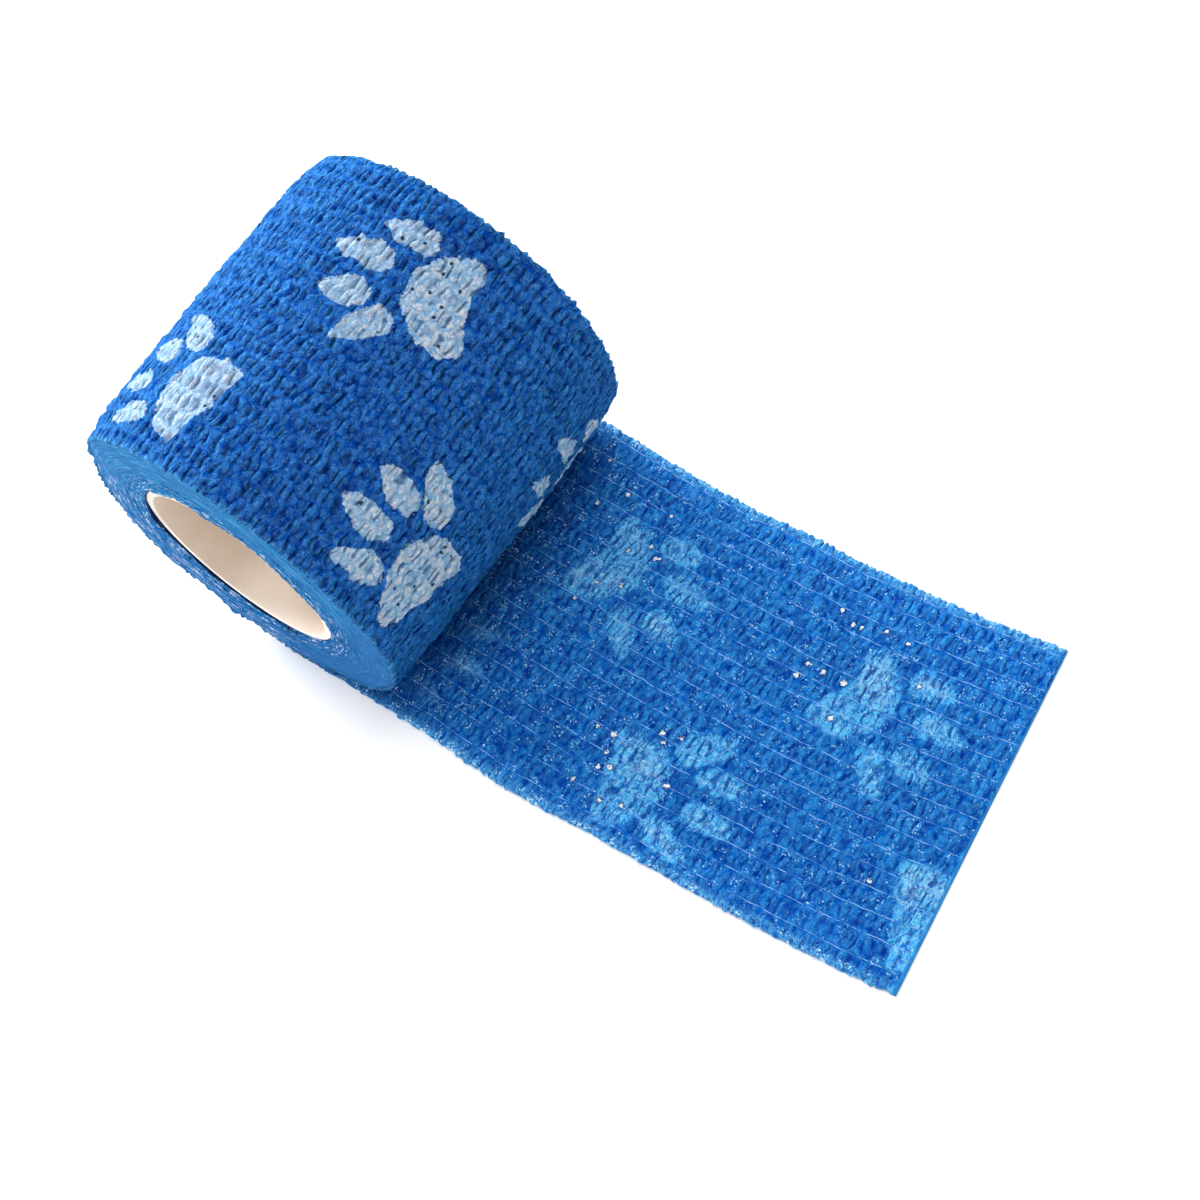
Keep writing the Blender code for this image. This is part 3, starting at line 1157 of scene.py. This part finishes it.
        # Painted highlight along thin wrinkles
        wrinkle = n.math("SUBTRACT", n.noise(flat, 1.3, 2.0, 0.6), 0.5)
        wrinkle = n.math("ABSOLUTE", wrinkle)
        show = n.mix(n.range(wrinkle, 0.035, 0.005, 0.0, 0.65), show, rgb(128, 220, 254))
        bright = n.range(n.noise(plane, 0.13, 1.0, 0.5), 0.48, 0.62)
        bright = n.times(bright, n.range(fibre, 0.42, 0.58), n.range(paw, -0.6, -2.0))
        show = n.mix(n.times(bright, 0.5), show, rgb(186, 230, 250))
        show = n.mix(n.range(fine, 0.56, 0.66, 0.0, 0.8), show, rgb(160, 226, 255))
        pile = n.range(n.noise(plane, 1.4, 4.0, 0.75), 0.49, 0.62)
        pile = n.times(pile, n.range(paw, 0.1, -1.3), 0.65)
        show = n.mix(pile, show, rgb(164, 228, 252))
        # Painted shade in the folds, furrows and creases, painted highlight on the crests
        fold = n.noise(n.scaled(flat, (1.0, 0.35, 1.0)), 0.8, 2.0, 0.5)
        fold = n.math("ABSOLUTE", n.math("SUBTRACT", fold, 0.5))
        show = n.mix(n.range(fold, 0.030, 0.010, 0.0, 0.75), show, rgb(4, 64, 156))
        show = n.mix(n.range(high, 0.15, 0.65, 0.7, 0.0), show, rgb(4, 68, 162))
        show = n.mix(n.times(crest, 0.4), show, rgb(140, 224, 255))
        show = n.mix(n.times(crease, 0.45), show, rgb(4, 64, 156))
        # Hidden near the roll: painted shade where the roll shades the loose end
        shown = n.times(
            n.range(n.math("ADD", paw, n.times(ragged, 1.1)), 0.14, -0.34),
            n.range(lump_b, 0.25, 0.85, 1.0, 0.75),
            n.range(along, 15.0, 27.0),
        )
        front = n.mix(shown, colour, show)
        hole = n.attribute("hole").outputs["Fac"]
        wear = n.math("SUBTRACT", n.noise(plane, 2.4, 3.0, 0.7), 0.5)
        hole = n.math("ADD", hole, n.times(wear, 1.3))
        front = n.mix(n.range(hole, 0.34, 0.12, 0.0, 0.8), front, rgb(6, 36, 104))
        front = n.mix(n.range(hole, 0.10, -0.02), front, rgb(238, 246, 255))
        under = n.mix(n.times(inked, 0.97), colour, paint)
        colour = n.mix(printed, front, under)
        # The cut end: painted light, a paler blue on its end face, which stands in shade
        colour = n.mix(
            n.range(along, LOOSE_LENGTH - 0.12, LOOSE_LENGTH, 0.0, 0.75),
            colour,
            rgb(52, 150, 226),
        )
    else:
        # Greyer print up the far side of the roll
        paint = n.mix(n.range(along, -98.0, -86.0, 0.0, 0.42), paint, rgb(140, 168, 206))
        colour = n.mix(n.times(inked, 0.98), colour, paint)
        gap, pick, _ = n.cells(plane, 0.42)
        pin = n.range(n.math("ADD", gap, n.times(ragged, 0.16)), 0.125, 0.085)
        pin = n.times(
            pin, n.math("GREATER_THAN", pick, 0.62), n.range(paw, -0.1, -0.5)
        )
        colour = n.mix(n.times(pin, 0.92), colour, rgb(8, 28, 68))
        # The threads show faintly through the outer face.
        lane = n.math(
            "MULTIPLY_ADD", across, -1 / THREAD_PITCH, FIRST_THREAD / THREAD_PITCH + 0.5
        )
        off = n.math("ABSOLUTE", n.math("SUBTRACT", n.math("FRACT", lane), 0.5))
        dash = n.noise(n.scaled(plane, (0.9, 0.37, 1.0)), 1.0, 1.0, 0.5)
        line = n.times(n.range(off, 0.040, 0.010), n.range(dash, 0.50, 0.62), 0.15)
        colour = n.mix(line, colour, rgb(130, 170, 222))
    n.put(n.shader.inputs["Base Color"], colour)
    n.put(n.shader.inputs["Roughness"], n.range(fibre, 0.3, 0.7, 0.55, 0.85))
    n.shader.inputs["Specular IOR Level"].default_value = 0.02
    n.shader.inputs["Sheen Weight"].default_value = 0.06 if inner else 0.20
    n.shader.inputs["Sheen Roughness"].default_value = 0.35
    n.shader.inputs["Sheen Tint"].default_value = rgb(40, 255, 184)
    bumps = n.math("ADD", n.times(lump_off, -0.50), n.times(nub_off, -0.24))
    bumps = n.math("ADD", bumps, n.times(fibre, 0.36))
    bumps = n.math("ADD", bumps, n.times(fine, 0.24))
    bumps = n.math("ADD", bumps, n.times(crease, -0.15 if inner else -0.30))
    bump = n.add(
        "ShaderNodeBump",
        {"Height": bumps, "Strength": 1.0, "Distance": 0.0004 if inner else 0.0008},
    )
    n.put(n.shader.inputs["Normal"], bump.outputs[0])
    return n.material


def thread_material():
    n = Nodes("elastic thread")
    cloth = n.attribute("cloth")
    place = n.scaled(cloth.outputs["Vector"], (1.0, 1.0, 3.0))
    glint = n.noise(place, 0.7, 4.0, 0.65)
    colour = n.mix(n.range(glint, 0.40, 0.60), rgb(30, 108, 200), rgb(152, 206, 250))
    n.put(n.shader.inputs["Base Color"], colour)
    n.put(n.shader.inputs["Roughness"], n.range(glint, 0.3, 0.7, 0.4, 0.6))
    return n.material


def turns_material():
    """The edges of the wound turns: pale, with broken whitish streaks near the core, painted shade low down, and a
    painted shadow in the gap round the core.
    """
    n = Nodes("edges of the turns")
    coil = n.attribute("coil")
    parts = n.add("ShaderNodeSeparateXYZ", {0: coil.outputs["Vector"]})
    radius, arc, _ = parts.outputs
    groove = n.attribute("groove").outputs["Fac"]
    flat = coil.outputs["Vector"]
    streaks = n.noise(n.scaled(flat, (4.4, 0.34, 1.0)), 1.0, 3.0, 0.6)
    layers = n.noise(n.scaled(flat, (3.2, 0.17, 1.0)), 1.0, 4.0, 0.65)
    soft = n.noise(n.scaled(flat, (1.0, 0.4, 1.0)), 0.7, 3.0, 0.6)
    fine = n.noise(flat, 4.5, 3.0, 0.6)
    shade_side = n.attribute("shade_side").outputs["Fac"]
    near_core = n.range(radius, 16.5, 19.4, 1.0, 0.08)
    near_core = n.math("MAXIMUM", near_core, n.range(shade_side, 0.4, 0.8, 0.0, 1.0))
    colour = n.mix(n.range(soft, 0.3, 0.7), rgb(4, 93, 160), rgb(22, 119, 182))
    colour = n.mix(n.range(layers, 0.50, 0.66, 0.0, 0.75), colour, rgb(70, 160, 214))
    colour = n.mix(n.range(layers, 0.48, 0.32, 0.0, 0.8), colour, rgb(8, 70, 144))
    colour = n.mix(n.range(fine, 0.48, 0.68, 0.0, 0.55), colour, rgb(78, 172, 222))
    # Painted shade on the end faces, darker low down on both sides
    light_and_shade_side = n.attribute("light_and_shade_side").outputs["Fac"]
    colour = n.mix(n.range(light_and_shade_side, 0.3, 0.9, 0.0, 0.6), colour, rgb(0, 84, 156))
    colour = n.mix(n.range(shade_side, 0.3, 0.9, 0.0, 0.5), colour, rgb(0, 92, 164))
    dark = n.range(groove, 0.75, 0.1)
    dark = n.times(dark, n.math("MULTIPLY_ADD", near_core, 0.35, 0.08))
    colour = n.mix(dark, colour, rgb(20, 70, 134))
    white = n.times(
        n.range(streaks, 0.54, 0.64), near_core, n.range(fine, 0.38, 0.52)
    )
    colour = n.mix(n.times(white, 0.95), colour, rgb(218, 236, 248))
    off, pick, _ = n.cells(n.scaled(flat, (1.0, 0.55, 1.0)), 1.1)
    speck = n.times(
        n.range(off, 0.20, 0.10), n.math("GREATER_THAN", pick, 0.80), near_core
    )
    colour = n.mix(n.times(speck, 0.9), colour, rgb(6, 24, 72))
    # Painted shadow in the gap round the core, on the shaded side
    shade = n.times(n.range(radius, 15.54, 15.42), n.range(shade_side, 0.2, 0.8))
    colour = n.mix(n.times(shade, 0.95), colour, rgb(4, 18, 60))
    n.put(n.shader.inputs["Base Color"], colour)
    n.shader.inputs["Roughness"].default_value = 0.85
    n.shader.inputs["Specular IOR Level"].default_value = 0.1
    heights = n.math("ADD", n.times(streaks, 0.4), n.times(fine, 0.4))
    heights = n.math("ADD", heights, n.times(layers, 0.4))
    bump = n.add(
        "ShaderNodeBump", {"Height": heights, "Strength": 0.9, "Distance": 0.0004}
    )
    n.put(n.shader.inputs["Normal"], bump.outputs[0])
    return n.material


def board_material():
    n = Nodes("core board")
    board = n.attribute("board")
    parts = n.add("ShaderNodeSeparateXYZ", {0: board.outputs["Vector"]})
    radius, y, arc = parts.outputs
    place = n.scaled(board.outputs["Vector"], (1.0, 0.35, 1.0))
    soft = n.noise(place, 0.25, 3.0, 0.6)
    fine = n.noise(board.outputs["Vector"], 3.0, 4.0, 0.6)
    colour = n.mix(n.range(soft, 0.3, 0.7), rgb(222, 206, 190), rgb(229, 216, 200))
    colour = n.mix(n.range(fine, 0.5, 0.8, 0.0, 0.3), colour, rgb(234, 226, 214))
    # Painted light and shade inside the tube: a lighter band where light falls, darker on either side of it
    light_and_shade_side = n.attribute("light_and_shade_side").outputs["Fac"]
    colour = n.mix(n.range(light_and_shade_side, -0.15, 0.32, 0.0, 0.95), colour, rgb(255, 243, 231))
    colour = n.mix(n.range(light_and_shade_side, 0.50, 0.95, 0.0, 0.9), colour, rgb(222, 202, 184))
    colour = n.mix(n.range(light_and_shade_side, 0.1, -0.8, 0.0, 0.6), colour, rgb(206, 190, 172))
    # The cut rim is paler; painted shade makes it greyer on one side
    rim = n.range(n.math("ABSOLUTE", y), 24.3, 24.6)
    rim = n.times(rim, n.range(radius, 14.1, 14.3))
    pale = n.mix(
        n.range(light_and_shade_side, -0.65, -0.95), rgb(238, 230, 222), rgb(214, 208, 200)
    )
    colour = n.mix(rim, colour, pale)
    # Painted shadow: the outside of the tube dark navy, for the shade in the gap beside the first turns of cloth.
    colour = n.mix(n.range(radius, 15.15, 15.19), colour, rgb(12, 30, 78))
    n.put(n.shader.inputs["Base Color"], colour)
    n.put(n.shader.inputs["Roughness"], n.range(fine, 0.3, 0.7, 0.5, 0.65))
    bump = n.add(
        "ShaderNodeBump", {"Height": fine, "Strength": 0.25, "Distance": 0.0001}
    )
    n.put(n.shader.inputs["Normal"], bump.outputs[0])
    return n.material


def floor_material():
    n = Nodes("pale floor")
    n.shader.inputs["Base Color"].default_value = (1.0, 1.0, 1.0, 1)
    n.shader.inputs["Roughness"].default_value = 0.9
    n.shader.inputs["Specular IOR Level"].default_value = 0.2
    return n.material


# ---------------------------------------------------------------- the object
turn = outer_turn()
tail, surface = loose_end()
threads = elastic_threads(surface)
wound = wound_turns()
tube = core_tube()
for obj, material in (
    (turn, cloth_material("cloth of the roll", False)),
    (tail, cloth_material("cloth of the loose end", True)),
    (threads, thread_material()),
    (wound, turns_material()),
    (tube, board_material()),
):
    obj.data.materials.append(material)
    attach(obj, "root")
for obj in (turn, tail, threads, wound):
    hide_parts("bandage")
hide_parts("core")

# ---------------------------------------------------------------- floor, light and camera
bpy.ops.mesh.primitive_plane_add(size=6.0, location=(0, 0, 0))
floor = bpy.context.object
floor.name = "floor"
floor.data.materials.append(floor_material())


def light(name, azimuth, elevation, size, power, away=0.9):
    """A round soft light, in a direction in degrees round from +X and up."""
    data = bpy.data.lights.new(name, "AREA")
    data.shape = "DISK"
    data.size = size
    data.energy = power
    obj = bpy.data.objects.new(name, data)
    bpy.context.scene.collection.objects.link(obj)
    az, el = math.radians(azimuth), math.radians(elevation)
    direction = Vector(
        (math.cos(el) * math.cos(az), math.cos(el) * math.sin(az), math.sin(el))
    )
    obj.location = Vector((0, 0, 0.01)) + direction * away
    obj.rotation_euler = direction.to_track_quat("Z", "Y").to_euler()
    return obj


light("key", 178, 18, 0.5, 14.6)
light("left", 150, 50, 0.6, 2.0)
light("back", 118, 34, 0.6, 1.8)
light("front", 268, 32, 0.6, 2.5)
light("top", 60, 70, 0.6, 2.5)

world = bpy.data.worlds.new("studio")
world.use_nodes = True
world.node_tree.nodes["Background"].inputs[0].default_value = (1, 1, 1, 1)
world.node_tree.nodes["Background"].inputs[1].default_value = 0.515
bpy.context.scene.world = world
bpy.context.scene.view_settings.view_transform = "Standard"

# The photograph looks down on the roll from the side of the loose end, with the camera rolled over.
CAMERA = (257.56, -106.09, 376.08)  # from the middle of the contact line
AIM = (31.26, 2.74, 0.0)
CAMERA_ROLL = -30.79
data = bpy.data.cameras.new("camera")
data.lens = 101.02
data.sensor_width = 36.0
data.clip_start = 0.01
camera = bpy.data.objects.new("camera", data)
bpy.context.scene.collection.objects.link(camera)
stand = Vector(placed(np.array(CAMERA)))
back = (stand - Vector(placed(np.array(AIM)))).normalized()
right = Vector((0, 0, 1)).cross(back).normalized()
up = back.cross(right)
a = math.radians(CAMERA_ROLL)
x_axis = right * math.cos(a) + up * math.sin(a)
y_axis = back.cross(x_axis)
camera.matrix_world = Matrix(
    (
        (x_axis.x, y_axis.x, back.x, stand.x),
        (x_axis.y, y_axis.y, back.y, stand.y),
        (x_axis.z, y_axis.z, back.z, stand.z),
        (0, 0, 0, 1),
    )
)
bpy.context.scene.camera = camera
